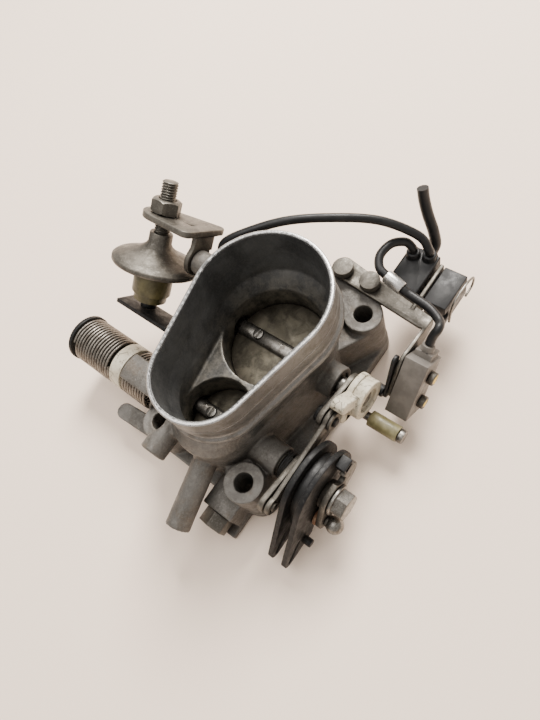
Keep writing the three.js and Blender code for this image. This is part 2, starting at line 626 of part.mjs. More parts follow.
add('switch_bracket', switchBracket(), LOOKS.zinc);
LUG_BOLTS.forEach(([x, y], index) => {
  add(`switch_bracket_bolt_${index + 1}`, carve([
    rodZ(x, y, 2.5, 23, STRIP[1] + 1, 16),
    rodZ(x, y, 5, STRIP[1] + GAP, STRIP[1] + 4.2, 24),
  ]), LOOKS.zinc);
});
add('full_load_switch', carve([
  onSwitch(block(0, SWITCH.depth, SWITCH.y0, SWITCH.y1, -SWITCH.length, 0)),
  onSwitch(block(5, 14, SWITCH.y0 + 1.5, SWITCH.y1 - 1.5, -1, 3)),
  onSwitch(rodZ(8, -62.5, 3, 0, 6, 20)),
], SWITCH_SCREWS.map(([x, z]) => onSwitch(rodY(x, z, 1.9, -69, -55, 16)))), LOOKS.greyPlastic);
SWITCH_SCREWS.forEach(([x, z], index) => {
  add(`full_load_switch_screw_${index + 1}`, onSwitch(carve([
    rodY(x, z, 1.6, SWITCH.y0 - 1, -54.5, 16),
    rodY(x, z, 3.2, SWITCH.y0 - 3, SWITCH.y0 - GAP, 20),
  ])), LOOKS.zinc);
});
const FOLLOWER = { x: 35.9, z: 18.1 };
const FOLLOWER_PIVOT = { x: 45.5, z: 37.5 };
add('full_load_switch_lever', carve([
  slabY(hullOutline({ x: FOLLOWER_PIVOT.x, y: FOLLOWER_PIVOT.z, r: 2.6 },
    { x: FOLLOWER.x, y: FOLLOWER.z, r: 2.2 }, 24), -54.2, -52.6),
  rodY(FOLLOWER.x, FOLLOWER.z, 1, -52.7, -47, 12),
]), LOOKS.blackPlastic);
add('full_load_switch_roller', carve([rodY(FOLLOWER.x, FOLLOWER.z, 3, -52.2, -47.4, 20)],
  [rodY(FOLLOWER.x, FOLLOWER.z, 1.08, -53, -46, 12)]), LOOKS.blackPlastic);

// ---- idle switch behind the collar ----
const IDLE = { x0: 19, x1: 47, y0: 35.8, y1: 45.8, z0: 35.5, z1: 50 };

add('idle_switch', carve([
  slabY(hullOutline({ x: 26, y: 28, r: 8.5 }, { x: 29, y: 42, r: 7 }, 28), 33.3, IDLE.y0 + 0.2),
  block(IDLE.x0, IDLE.x1, IDLE.y0, IDLE.y1, IDLE.z0, IDLE.z1),
  rodZ(44.4, 40.8, 3, IDLE.z1 - 1, IDLE.z1 + 3.5, 20),
]), LOOKS.blackPlastic);
add('idle_switch_lever', carve([
  slabY(hullOutline({ x: 17.4, y: 48, r: 1.2 }, { x: 8.2, y: 47.2, r: 1.2 }, 16), 39.9, 43.9),
  rodY(8.2, 46.8, 2.1, 39.9, 43.9, 20),
]), LOOKS.blackPlastic);

// ---- connector and leads ----
const LEAD_R = 2.1;

add('connector_body', carve([
  block(79, 101, -43.6, -28, 22, 37),
  rodZ(96, -32, 3.2, 36, 40.8, 20),
  rodZ(98, -39.4, 3.2, 36, 40.8, 20),
  rodX(-36, 30, 4.2, 100, 105, 20),
]), LOOKS.blackPlastic);
add('connector_socket', carve([
  block(79, 99, -58.5, -47.2, 19, 34),
], [
  block(81.5, 96.5, -56.5, -49.5, 16, 30),
  block(78, 82, -59, -57, 24, 29),
]), LOOKS.blackPlastic);

function retainingClip() {
  const y = -59.6;
  return sweep(throughPoints([
    [81, y, 20], [84, y, 31], [90, y, 33.4], [98, y, 32], [103, y, 28], [102, y, 22], [96, y, 21],
  ]), 0.6, 24, 6);
}

add('connector_clip', retainingClip(), LOOKS.steel);
const FERRULE = [[76, -30.6, 46.6], [74.4, -39.6, 44.6]];
add('full_load_lead', sweep(throughPoints([
  [96, -32, 41.3], [96, -31.6, 43.4], [95.4, -28.4, 46.6], [90.4, -24.2, 48.8], [83, -23, 48.8], [77.8, -25.8, 47.8],
  ...FERRULE, [74, -44, 43.4], [72.4, -54, 43.2], [68.6, -61.4, 43.8], [64.4, -63.4, 45.4],
  [61.4, -62.6, 42.6], [58.9, -62.5, 39.7],
]), LEAD_R, 28), LOOKS.rubber);
add('lead_ferrule', carve([rodBetween(...FERRULE, 3.2, 20)], [rodBetween(
  [76.4, -28.4, 47.1], [74, -41.8, 44.1], LEAD_R + 0.45, 20)]), LOOKS.steel);
add('idle_lead', sweep(throughPoints([
  [98, -39.4, 41.3], [98.1, -39, 43.6], [99, -33, 50], [93, -17, 59], [81, 1, 65], [69, 18, 67], [56, 33, 65], [49, 40.6, 61.6],
  [45.2, 41, 58], [44.4, 40.8, 54],
]), LEAD_R, 28), LOOKS.rubber);
add('cut_tail', sweep(throughPoints([
  [105.8, -36, 30], [107.2, -36, 30], [109.6, -35.8, 32.6], [111.6, -33.2, 39], [113.4, -29.5, 46],
  [115.3, -26.6, 52.5], [117, -24.8, 58.5],
]), 2.7, 16, 12), LOOKS.rubber);

export default group;
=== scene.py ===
import json
import math

import bmesh
import bpy
import numpy as np
from mathutils import Matrix, Vector, noise

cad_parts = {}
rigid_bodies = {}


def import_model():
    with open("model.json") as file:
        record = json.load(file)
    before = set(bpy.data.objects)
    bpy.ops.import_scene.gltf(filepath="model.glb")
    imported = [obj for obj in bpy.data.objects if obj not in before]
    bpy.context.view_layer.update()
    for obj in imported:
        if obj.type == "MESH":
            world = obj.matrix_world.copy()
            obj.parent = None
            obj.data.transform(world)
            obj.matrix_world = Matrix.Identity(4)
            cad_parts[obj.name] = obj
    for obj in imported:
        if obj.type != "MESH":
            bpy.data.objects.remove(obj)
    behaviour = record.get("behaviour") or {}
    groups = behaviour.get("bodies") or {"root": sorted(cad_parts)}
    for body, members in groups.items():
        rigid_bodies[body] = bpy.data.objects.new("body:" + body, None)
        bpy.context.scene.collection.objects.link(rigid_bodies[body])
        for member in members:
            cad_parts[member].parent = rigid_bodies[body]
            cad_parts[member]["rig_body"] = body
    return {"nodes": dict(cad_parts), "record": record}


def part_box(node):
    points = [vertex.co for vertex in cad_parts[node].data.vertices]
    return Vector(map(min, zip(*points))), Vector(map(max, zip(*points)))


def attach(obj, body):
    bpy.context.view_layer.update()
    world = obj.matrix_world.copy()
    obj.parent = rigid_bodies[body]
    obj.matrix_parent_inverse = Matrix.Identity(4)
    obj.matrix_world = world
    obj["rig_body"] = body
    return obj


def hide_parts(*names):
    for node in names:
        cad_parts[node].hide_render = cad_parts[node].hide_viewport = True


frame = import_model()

# A two-barrel throttle body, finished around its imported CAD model. Metres; +Z runs up the bores.
# A number in millimetres is multiplied by MM, and a point in millimetres goes through mm().
MM = 0.001
NODES = frame["nodes"]
SLOTS = {part["node"]: part["material_slot"] for part in frame["record"]["subparts"]}
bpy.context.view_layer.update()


# ---- camera, floor and light ----
CAMERA_AT = Vector((-0.0331, -0.1173, 0.2691))
LOOK_ALONG = Vector((0.189, 0.432, -0.882))
PICTURE_RIGHT = Vector((0.582, -0.773, -0.254))


def link(obj):
    bpy.context.scene.collection.objects.link(obj)
    return obj


def add_camera():
    data = bpy.data.cameras.new("camera")
    data.sensor_width = 36.0
    data.lens = 28.0
    data.clip_start = 0.01
    camera = link(bpy.data.objects.new("camera", data))
    back = -LOOK_ALONG.normalized()
    right = (PICTURE_RIGHT - back * PICTURE_RIGHT.dot(back)).normalized()
    up = back.cross(right)
    camera.matrix_world = Matrix.Translation(CAMERA_AT) @ Matrix((right, up, back)).transposed().to_4x4()
    bpy.context.scene.camera = camera


def add_light(name, at, towards, size, power, colour):
    data = bpy.data.lights.new(name, "AREA")
    data.shape = "DISK"
    data.size = size
    data.energy = power
    data.color = colour
    light = link(bpy.data.objects.new(name, data))
    light.location = at
    light.rotation_euler = (Vector(towards) - Vector(at)).to_track_quat("-Z", "Y").to_euler()


def add_surroundings():
    floor_mesh = bpy.data.meshes.new("floor")
    half = 1.6
    below = -0.0003
    corners = [(-half, -half, below), (half, -half, below), (half, half, below), (-half, half, below)]
    floor_mesh.from_pydata(corners, [], [(0, 1, 2, 3)])
    floor = link(bpy.data.objects.new("floor", floor_mesh))
    paper = bpy.data.materials.new("pale_floor")
    paper.use_nodes = True
    shader = paper.node_tree.nodes["Principled BSDF"]
    shader.inputs["Base Color"].default_value = (0.95, 0.78, 0.645, 1)
    shader.inputs["Roughness"].default_value = 0.9
    shader.inputs["Specular IOR Level"].default_value = 0.2
    floor_mesh.materials.append(paper)
    world = bpy.data.worlds.new("soft_room")
    world.use_nodes = True
    background = world.node_tree.nodes["Background"]
    background.inputs["Color"].default_value = (1.0, 0.955, 0.905, 1)
    background.inputs["Strength"].default_value = 0.8
    bpy.context.scene.world = world
    add_light("window", (0.75, 0.25, 0.85), (0.02, 0.0, 0.03), 0.5, 30.0, (1.0, 0.955, 0.9))
    add_light("ceiling", (-0.1, 0.3, 1.1), (0.0, 0.0, 0.0), 0.9, 8.0, (1.0, 0.97, 0.94))


# ---- the cut harness stub, a short stiff cable ----
def mm(*point):
    return Vector(point) * MM


def smooth_route(points, per_span=8):
    """A Catmull-Rom line through the points, as a list of points."""
    padded = [points[0] * 2 - points[1], *points, points[-1] * 2 - points[-2]]
    route = []
    for i in range(1, len(padded) - 2):
        a, b, c, d = padded[i - 1:i + 3]
        for step in range(per_span):
            t = step / per_span
            route.append(0.5 * (2 * b + (c - a) * t + (2 * a - 5 * b + 4 * c - d) * t * t
                                + (3 * b - a - 3 * c + d) * t ** 3))
    route.append(points[-1].copy())
    return route


def tube(name, route, radius, sides=6):
    data = bpy.data.curves.new(name, "CURVE")
    data.dimensions = "3D"
    data.bevel_depth = radius
    data.bevel_resolution = sides
    data.use_fill_caps = True
    spline = data.splines.new("POLY")
    spline.points.add(len(route) - 1)
    for point, at in zip(spline.points, route):
        point.co = (*at, 1)
    spline.use_smooth = True
    return link(bpy.data.objects.new(name, data))


TAIL_RADIUS = 2.7 * MM
TAIL_POINTS = [(105.8, -36, 30), (107.2, -36, 30), (109.6, -35.8, 32.6), (111.6, -33.2, 39),
               (113.4, -29.5, 46), (115.3, -26.6, 52.5), (117, -24.8, 58.5)]


# ---- procedural surfaces ----
class Surface:
    """One node material, with short calls for the nodes that its pattern needs."""

    def __init__(self, name, metallic=0.0):
        self.material = bpy.data.materials.new(name)
        self.material.use_nodes = True
        self.tree = self.material.node_tree
        self.shader = self.tree.nodes["Principled BSDF"]
        self.shader.inputs["Metallic"].default_value = metallic
        self.where = self.add("ShaderNodeTexCoord").outputs["Object"]

    def add(self, kind, **settings):
        node = self.tree.nodes.new(kind)
        for key, value in settings.items():
            setattr(node, key, value)
        return node

    def wire(self, socket, value):
        if isinstance(value, bpy.types.NodeSocket):
            self.tree.links.new(value, socket)
        elif isinstance(value, tuple) and len(value) == 3:
            socket.default_value = (*value, 1)
        else:
            socket.default_value = value

    def stretched(self, x, y, z):
        node = self.add("ShaderNodeMapping")
        self.wire(node.inputs["Vector"], self.where)
        node.inputs["Scale"].default_value = (x, y, z)
        return node.outputs["Vector"]

    def noise(self, size, detail=4.0, roughness=0.55, distortion=0.0, vector=None):
        """Noise from 0 to 1 whose blotches are about size millimetres across."""
        node = self.add("ShaderNodeTexNoise")
        self.wire(node.inputs["Vector"], vector or self.where)
        node.inputs["Scale"].default_value = 1 / (size * MM)
        node.inputs["Detail"].default_value = detail
        node.inputs["Roughness"].default_value = roughness
        node.inputs["Distortion"].default_value = distortion
        return node.outputs["Fac"]

    def cell_edges(self, size):
        """The distance to the nearest border of cells about size millimetres across."""
        node = self.add("ShaderNodeTexVoronoi", feature="DISTANCE_TO_EDGE")
        self.wire(node.inputs["Vector"], self.where)
        node.inputs["Scale"].default_value = 1 / (size * MM)
        return node.outputs["Distance"]

    def spread(self, value, low, high, to_low=0.0, to_high=1.0):
        node = self.add("ShaderNodeMapRange", interpolation_type="SMOOTHSTEP")
        self.wire(node.inputs["Value"], value)
        node.inputs["From Min"].default_value = low
        node.inputs["From Max"].default_value = high
        node.inputs["To Min"].default_value = to_low
        node.inputs["To Max"].default_value = to_high
        return node.outputs["Result"]

    def maths(self, operation, a, b):
        node = self.add("ShaderNodeMath", operation=operation, use_clamp=True)
        self.wire(node.inputs[0], a)
        self.wire(node.inputs[1], b)
        return node.outputs["Value"]

    def mix(self, factor, a, b, blend="MIX"):
        node = self.add("ShaderNodeMix", data_type="RGBA", blend_type=blend)
        self.wire(node.inputs["Factor"], factor)
        self.wire(node.inputs["A"], a)
        self.wire(node.inputs["B"], b)
        return node.outputs["Result"]

    def crevice_shade_and_dirt(self, distance):
        """1 deep in corners and crevices, where the colour is darkened as painted shade and for dirt, and
        0 on open faces.
        """
        node = self.add("ShaderNodeAmbientOcclusion", samples=6)
        node.inputs["Distance"].default_value = distance * MM
        return self.spread(node.outputs["AO"], 0.35, 0.95, 1.0, 0.0)

    def edges(self, radius):
        """1 on outside edges, where paint and plating wear through, and 0 elsewhere."""
        bevel = self.add("ShaderNodeBevel", samples=6)
        bevel.inputs["Radius"].default_value = radius * MM
        bare = self.add("ShaderNodeNewGeometry")
        dot = self.add("ShaderNodeVectorMath", operation="DOT_PRODUCT")
        self.wire(dot.inputs[0], bevel.outputs["Normal"])
        self.wire(dot.inputs[1], bare.outputs["Normal"])
        return self.spread(dot.outputs["Value"], 0.997, 0.9, 0.0, 1.0)

    def height(self):
        split = self.add("ShaderNodeSeparateXYZ")
        self.wire(split.inputs["Vector"], self.where)
        return split.outputs["Z"]

    def bump(self, value, depth, over=None):
        node = self.add("ShaderNodeBump")
        self.wire(node.inputs["Height"], value)
        node.inputs["Distance"].default_value = depth * MM
        if over is not None:
            self.wire(node.inputs["Normal"], over)
        return node.outputs["Normal"]

    def finish(self, colour, roughness, normal):
        self.wire(self.shader.inputs["Base Color"], colour)
        self.wire(self.shader.inputs["Roughness"], roughness)
        self.wire(self.shader.inputs["Normal"], normal)
        return self.material


def cast_outside():
    s = Surface("cast_outside", metallic=0.45)
    blotches = s.spread(s.noise(22, 5, 0.6, 0.6), 0.38, 0.64)
    speckle = s.noise(1.1, 3, 0.7)
    colour = s.mix(blotches, (0.08, 0.072, 0.062), (0.145, 0.136, 0.124))
    brown = s.spread(s.noise(9, 5, 0.62), 0.52, 0.7)
    colour = s.mix(s.maths("MULTIPLY", brown, 0.6), colour, (0.13, 0.098, 0.068))
    colour = s.mix(s.spread(speckle, 0.3, 0.75, 0.0, 0.55), colour, (0.185, 0.174, 0.155))
    colour = s.mix(s.spread(s.noise(0.6, 2), 0.62, 0.8, 0.0, 0.5), colour, (0.4, 0.38, 0.35))
    # Painted shade: an ambient-occlusion mask darkens the casting's corners and crevices almost to black,
    # and also stands for dirt there.
    colour = s.mix(s.maths("MULTIPLY", s.crevice_shade_and_dirt(7), 0.75), colour, (0.035, 0.03, 0.024))
    worn = s.maths("MULTIPLY", s.edges(0.7), s.spread(s.noise(3, 4), 0.4, 0.65))
    colour = s.mix(s.maths("MULTIPLY", worn, 0.7), colour, (0.42, 0.41, 0.39))
    rough = s.spread(s.noise(4, 4), 0.3, 0.7, 0.42, 0.66)
    grain = s.bump(s.noise(0.55, 4, 0.7), 0.16)
    normal = s.bump(s.noise(2.6, 3), 0.35, over=grain)
    return s.finish(colour, rough, normal)


def bore_coating():
    s = Surface("bore_coating", metallic=0.55)
    deposit = s.spread(s.height(), 0.030, 0.058, 1.0, 0.0)
    film = s.mix(s.spread(s.noise(16, 4, 0.6, 0.4), 0.35, 0.65),
                 (0.065, 0.066, 0.067), (0.135, 0.136, 0.136))
    soot = s.mix(s.spread(s.noise(7, 5, 0.65), 0.4, 0.62), (0.03, 0.027, 0.02), (0.17, 0.15, 0.115))
    colour = s.mix(deposit, film, soot)
    colour = s.mix(s.spread(s.noise(0.9, 3), 0.35, 0.8, 0.0, 0.3), colour, (0.22, 0.21, 0.19))
    # Painted shade: an ambient-occlusion mask darkens the bore's corners and crevices almost to black,
    # and also stands for dirt there.
    colour = s.mix(s.maths("MULTIPLY", s.crevice_shade_and_dirt(9), 0.7), colour, (0.012, 0.011, 0.009))
    rough = s.spread(s.noise(5, 4), 0.3, 0.7, 0.3, 0.5)
    normal = s.bump(s.noise(0.7, 4, 0.7), 0.09)
    return s.finish(colour, rough, normal)


def machined_lip():
    s = Surface("machined_lip", metallic=0.95)
    marks = s.noise(0.5, 3, 0.6, vector=s.stretched(1, 1, 6))
    colour = s.mix(s.spread(marks, 0.3, 0.7), (0.34, 0.335, 0.325), (0.62, 0.61, 0.6))
    stain = s.spread(s.noise(5, 5), 0.5, 0.7)
    colour = s.mix(s.maths("MULTIPLY", stain, 0.45), colour, (0.2, 0.19, 0.175))
    rough = s.spread(s.noise(1.5, 4), 0.3, 0.7, 0.24, 0.42)
    return s.finish(colour, rough, s.bump(marks, 0.05))


def collar_skin():
    s = Surface("collar_skin", metallic=0.7)
    marks = s.noise(0.7, 3, 0.6, vector=s.stretched(1, 1, 5))
    base = s.mix(s.spread(marks, 0.25, 0.75), (0.13, 0.127, 0.12), (0.22, 0.215, 0.205))
    stain = s.spread(s.noise(6, 5, 0.65), 0.48, 0.68)
    colour = s.mix(s.maths("MULTIPLY", stain, 0.6), base, (0.085, 0.075, 0.06))
    worn = s.maths("MULTIPLY", s.edges(0.5), s.spread(s.noise(4, 4), 0.3, 0.6))
    colour = s.mix(worn, colour, (0.55, 0.545, 0.535))
    rough = s.spread(s.noise(3, 4), 0.3, 0.7, 0.34, 0.52)
    return s.finish(colour, rough, s.bump(marks, 0.06))


def turned_steel(name, dark, light, grime, rough_low, rough_high):
    s = Surface(name, metallic=0.9)
    lines = s.noise(0.9, 3, 0.6, vector=s.stretched(1, 5, 1))
    colour = s.mix(s.spread(lines, 0.3, 0.7), dark, light)
    stain = s.spread(s.noise(4, 5, 0.65), 0.45, 0.68)
    colour = s.mix(s.maths("MULTIPLY", stain, 0.65), colour, grime)
    # Painted shade: an ambient-occlusion mask darkens corners and crevices almost to black, and also
    # stands for dirt there.
    colour = s.mix(s.maths("MULTIPLY", s.crevice_shade_and_dirt(3), 0.7), colour, (0.03, 0.025, 0.02))
    rough = s.spread(s.noise(2, 4), 0.3, 0.7, rough_low, rough_high)
    return s.finish(colour, rough, s.bump(lines, 0.04))


def plated_steel(name, base, other, worn_colour, metallic=0.75, shine=0.5):
    s = Surface(name, metallic=metallic)
    s.shader.inputs["Specular IOR Level"].default_value = shine
    patches = s.spread(s.noise(8, 5, 0.62, 0.5), 0.38, 0.64)
    colour = s.mix(patches, base, other)
    colour = s.mix(s.spread(s.noise(0.8, 3), 0.5, 0.8, 0.0, 0.5), colour, worn_colour)
    # Painted shade: an ambient-occlusion mask darkens corners and crevices almost to black, and also
    # stands for dirt there.
    colour = s.mix(s.maths("MULTIPLY", s.crevice_shade_and_dirt(4), 0.7), colour, (0.03, 0.026, 0.02))
    rubbed = s.maths("MULTIPLY", s.edges(0.35), s.spread(s.noise(2.2, 4), 0.35, 0.6))
    colour = s.mix(s.maths("MULTIPLY", rubbed, 0.8), colour, worn_colour)
    rough = s.spread(s.noise(3, 4), 0.3, 0.7, 0.38, 0.6)
    return s.finish(colour, rough, s.bump(s.noise(0.7, 4, 0.65), 0.06))


def moulded(name, base, lighter, dirt_and_crevice_shade, rough, speck=(0.3, 0.3, 0.3), grain=0.5, cracked=False,
            shine=0.5):
    s = Surface(name)
    s.shader.inputs["Specular IOR Level"].default_value = shine
    colour = s.mix(s.spread(s.noise(7, 4, 0.6), 0.35, 0.68), base, lighter)
    colour = s.mix(s.spread(s.noise(0.9, 3), 0.6, 0.85, 0.0, 0.35), colour, speck)
    # Painted shade: an ambient-occlusion mask darkens corners and crevices with the darkening colour, and
    # also stands for dirt there.
    colour = s.mix(s.maths("MULTIPLY", s.crevice_shade_and_dirt(4), 0.75), colour, dirt_and_crevice_shade)
    normal = s.bump(s.noise(grain, 4, 0.65), 0.07)
    if cracked:
        smear = s.spread(s.noise(3.2, 6, 0.7, 1.0), 0.53, 0.66)
        colour = s.mix(s.maths("MULTIPLY", smear, 0.7), colour, dirt_and_crevice_shade)
        cracks = s.spread(s.cell_edges(4.5), 0.0, 0.035, 1.0, 0.0)
        patchy = s.maths("MULTIPLY", cracks, s.spread(s.noise(6, 3), 0.5, 0.62))
        colour = s.mix(patchy, colour, (0.05, 0.035, 0.02))
        normal = s.bump(patchy, -0.2, over=normal)
    low, high = rough
    return s.finish(colour, s.spread(s.noise(3, 4), 0.3, 0.7, low, high), normal)


def rust_washer():
    s = Surface("rust_washer", metallic=0.3)
    colour = s.mix(s.spread(s.noise(2, 5, 0.7), 0.35, 0.65), (0.17, 0.075, 0.035), (0.29, 0.2, 0.13))
    return s.finish(colour, 0.72, s.bump(s.noise(0.4, 4, 0.7), 0.12))


def throttle_brass():
    s = Surface("throttle_brass", metallic=0.65)
    film = s.spread(s.noise(9, 5, 0.65, 0.6), 0.38, 0.62)
    colour = s.mix(film, (0.055, 0.048, 0.034), (0.15, 0.133, 0.098))
    colour = s.mix(s.spread(s.noise(1.2, 4, 0.7), 0.4, 0.75, 0.0, 0.5), colour, (0.13, 0.12, 0.093))
    # Painted shade: an ambient-occlusion mask darkens corners and crevices almost to black, and also
    # stands for dirt there.
    colour = s.mix(s.maths("MULTIPLY", s.crevice_shade_and_dirt(8), 0.7), colour, (0.025, 0.02, 0.014))
    rough = s.spread(s.noise(4, 4), 0.3, 0.7, 0.36, 0.6)
    return s.finish(colour, rough, s.bump(s.noise(0.8, 4, 0.7), 0.08))


def yellow_paint():
    s = Surface("yellow_paint")
    colour = s.mix(s.spread(s.noise(1.2, 4), 0.4, 0.65), (0.85, 0.58, 0.015), (0.6, 0.4, 0.03))
    return s.finish(colour, 0.45, s.bump(s.noise(0.6, 3), 0.08))


LOOKS = {
    "cast_metal": cast_outside(),
    "bore": bore_coating(),
    "lip": machined_lip(),
    "collar": collar_skin(),
    "shaft_steel": turned_steel("worn_shaft_steel", (0.12, 0.113, 0.1), (0.3, 0.285, 0.26),
                                (0.07, 0.058, 0.045), 0.26, 0.46),
    "bright_steel": turned_steel("bright_ferrule", (0.5, 0.49, 0.47), (0.72, 0.71, 0.69),
                                 (0.3, 0.29, 0.27), 0.22, 0.36),
    "spring_steel": turned_steel("spring_wire", (0.1, 0.09, 0.08), (0.33, 0.3, 0.26),
                                 (0.06, 0.045, 0.033), 0.32, 0.5),
    "black_steel": plated_steel("black_stamped_steel", (0.005, 0.005, 0.0055), (0.011, 0.011, 0.011),
                                (0.07, 0.067, 0.062), 0.1, shine=0.22),
    "zinc_steel": plated_steel("dull_plated_steel", (0.085, 0.077, 0.065), (0.14, 0.128, 0.108),
                               (0.28, 0.265, 0.235)),
    "rusty_steel": rust_washer(),
    "plate_brass": throttle_brass(),
    "cream_plastic": moulded("aged_cream_nylon", (0.5, 0.44, 0.33), (0.64, 0.585, 0.46),
                             (0.09, 0.068, 0.042), (0.4, 0.6), speck=(0.45, 0.38, 0.26), cracked=True),
    "olive_plastic": moulded("amber_nylon", (0.12, 0.105, 0.045), (0.22, 0.195, 0.1),
                             (0.05, 0.038, 0.018), (0.3, 0.5), speck=(0.34, 0.31, 0.2)),
    "black_plastic": moulded("black_moulding", (0.007, 0.007, 0.0075), (0.016, 0.016, 0.016),
                             (0.004, 0.004, 0.004), (0.35, 0.55), speck=(0.045, 0.043, 0.04), shine=0.3),
    "grey_plastic": moulded("switch_casing", (0.1, 0.088, 0.075), (0.145, 0.128, 0.11),
                            (0.022, 0.018, 0.014), (0.45, 0.62), speck=(0.2, 0.185, 0.165), grain=0.35),
    "black_rubber": moulded("cable_sheath", (0.006, 0.006, 0.0065), (0.012, 0.012, 0.012),
                            (0.004, 0.004, 0.004), (0.32, 0.48), speck=(0.035, 0.033, 0.03), shine=0.3),
    "dark_amber": moulded("stained_amber_nylon", (0.06, 0.05, 0.018), (0.13, 0.11, 0.045),
                          (0.025, 0.02, 0.01), (0.3, 0.5), speck=(0.24, 0.2, 0.1)),
    "yellow": yellow_paint(),
}


# ---- making and finishing pieces ----
def smooth_by_angle(mesh, degrees=38):
    mesh.shade_smooth()
    mesh.set_sharp_from_angle(angle=math.radians(degrees))


def settle(piece, node, look=None, replace=True):
    """The piece gets a look and moves with the node's body, and stands for the node."""
    slot = SLOTS[node]
    material = LOOKS[look or slot]
    if not piece.data.materials:
        piece.data.materials.append(material)
    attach(piece, NODES[node]["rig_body"])
    if replace:
        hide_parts(node)
    return piece


def from_bmesh(name, bm):
    mesh = bpy.data.meshes.new(name)
    bm.to_mesh(mesh)
    bm.free()
    smooth_by_angle(mesh)
    return link(bpy.data.objects.new(name, mesh))


def welded(node):
    bm = bmesh.new()
    bm.from_mesh(NODES[node].data)
    bmesh.ops.remove_doubles(bm, verts=bm.verts, dist=0.002 * MM)
    return bm


def finished(node, edge, look=None):
    """The CAD node with clean faces and rounded edges, edge being the round's size in millimetres."""
    bm = welded(node)
    bmesh.ops.dissolve_limit(bm, angle_limit=math.radians(1.5), verts=bm.verts, edges=bm.edges)
    bmesh.ops.dissolve_degenerate(bm, dist=0.01 * MM, edges=bm.edges)
    sharp = [e for e in bm.edges if e.is_manifold and e.calc_face_angle(0) > math.radians(33)]
    bmesh.ops.bevel(bm, geom=sharp, offset=edge * MM, segments=2, profile=0.5, affect="EDGES",
                    clamp_overlap=False)
    bmesh.ops.recalc_face_normals(bm, faces=bm.faces)
    return settle(from_bmesh(f"{node}_finished", bm), node, look)


def skin(name, rings, looped=False):
    """A closed mesh through rings of one point count, capped at its ends or looped into a torus."""
    bm = bmesh.new()
    rows = [[bm.verts.new(p) for p in ring] for ring in rings]
    pairs = list(zip(rows, rows[1:]))
    if looped:
        pairs.append((rows[-1], rows[0]))
    for low, high in pairs:
        for i, vertex in enumerate(low):
            j = (i + 1) % len(low)
            bm.faces.new((vertex, low[j], high[j], high[i]))
    if not looped:
        bm.faces.new(list(reversed(rows[0])))
        bm.faces.new(rows[-1])
    bmesh.ops.recalc_face_normals(bm, faces=bm.faces)
    return from_bmesh(name, bm)


def frame_along(origin, axis):
    """A matrix that takes local +Z to the axis and the local origin to the given point."""
    return Matrix.Translation(origin) @ Vector(axis).to_track_quat("Z", "Y").to_matrix().to_4x4()


def ring(radius, height, count, matrix):
    angles = [2 * math.pi * i / count for i in range(count)]
    return [matrix @ Vector((radius * math.cos(a), radius * math.sin(a), height)) for a in angles]


def turned(name, profile, matrix, count):
    """A lathed piece from (radius, height) pairs in millimetres."""
    return skin(name, [ring(r * MM, z * MM, count, matrix) for r, z in profile])


def hexagon_nut(name, matrix, across, height, bore, count=48):
    """A chamfered hexagon nut."""
    flat = across / 2
    chamfer_start = flat * 1.02

    def hexagon(z, top):
        points = []
        for i in range(count):
            angle = 2 * math.pi * i / count
            sector = (angle + math.pi / 6) % (math.pi / 3) - math.pi / 6
            radius = flat / math.cos(sector)
            drop = max(0.0, radius - chamfer_start) * 0.7
            level = z - drop if top else z + drop
            points.append(matrix @ Vector((radius * math.cos(angle), radius * math.sin(angle), level)))
        return points

    def circle(radius, z):
        return ring(radius, z, count, matrix)

    rings = [circle(flat * 0.93, 0), hexagon(0.04 * height, False), hexagon(0.94 * height, True),
             circle(flat * 0.93, height), circle(bore * 1.08, height),
             circle(bore, height - 0.05 * across), circle(bore, 0)]
    return skin(name, rings, looped=True)


def threaded_rod(name, matrix, radius, pitch, z0, z1, around=32, per_pitch=6):
    """A rod with a real helical thread from z0 to z1 and a chamfered end."""
    depth = 0.58 * pitch
    steps = round((z1 - z0) / pitch * per_pitch)
    rings = []
    for k in range(steps + 1):
        z = z0 + (z1 - z0) * k / steps
        limit = min(1.0, 0.78 + (z1 - z) / (1.1 * pitch))
        points = []
        for i in range(around):
            phase = (z / pitch - i / around) % 1.0
            r = radius - depth * abs(2 * phase - 1)
            r = min(r, radius * limit)
            angle = 2 * math.pi * i / around
            points.append(matrix @ Vector((r * math.cos(angle), r * math.sin(angle), z)))
        rings.append(points)
    return skin(name, rings)


def helix_route(x, z, radius, y0, y1, turns, start=0.0, per_turn=40):
    steps = round(turns * per_turn)
    route = []
    for k in range(steps + 1):
        t = k / steps
        angle = start + t * turns * 2 * math.pi
        route.append(Vector((x + radius * math.cos(angle), y0 + t * (y1 - y0),
                             z + radius * math.sin(angle))))
    return route


# ---- the cast housing ----
def evaluated_mesh(obj):
    depsgraph = bpy.context.evaluated_depsgraph_get()
    return bpy.data.meshes.new_from_object(obj.evaluated_get(depsgraph))


def relax(mesh, rounds, firmness):
    """Taubin smoothing: it rounds the casting's corners into fillets and keeps its size."""
    count = len(mesh.vertices)
    co = np.empty(count * 3)
    mesh.vertices.foreach_get("co", co)
    co = co.reshape(-1, 3)
    edges = np.empty(len(mesh.edges) * 2, int)
    mesh.edges.foreach_get("vertices", edges)
    a, b = edges.reshape(-1, 2).T
    valence = np.bincount(a, minlength=count) + np.bincount(b, minlength=count)
    freedom = firmness(co)[:, None]
    for _ in range(rounds):
        for pull in (0.55, -0.57):
            mean = np.zeros_like(co)
            for axis in range(3):
                mean[:, axis] = np.bincount(a, co[b, axis], count) + np.bincount(b, co[a, axis], count)
            mean /= valence[:, None]
            co = co + (mean - co) * pull * freedom
    mesh.vertices.foreach_set("co", co.ravel())
    mesh.update()


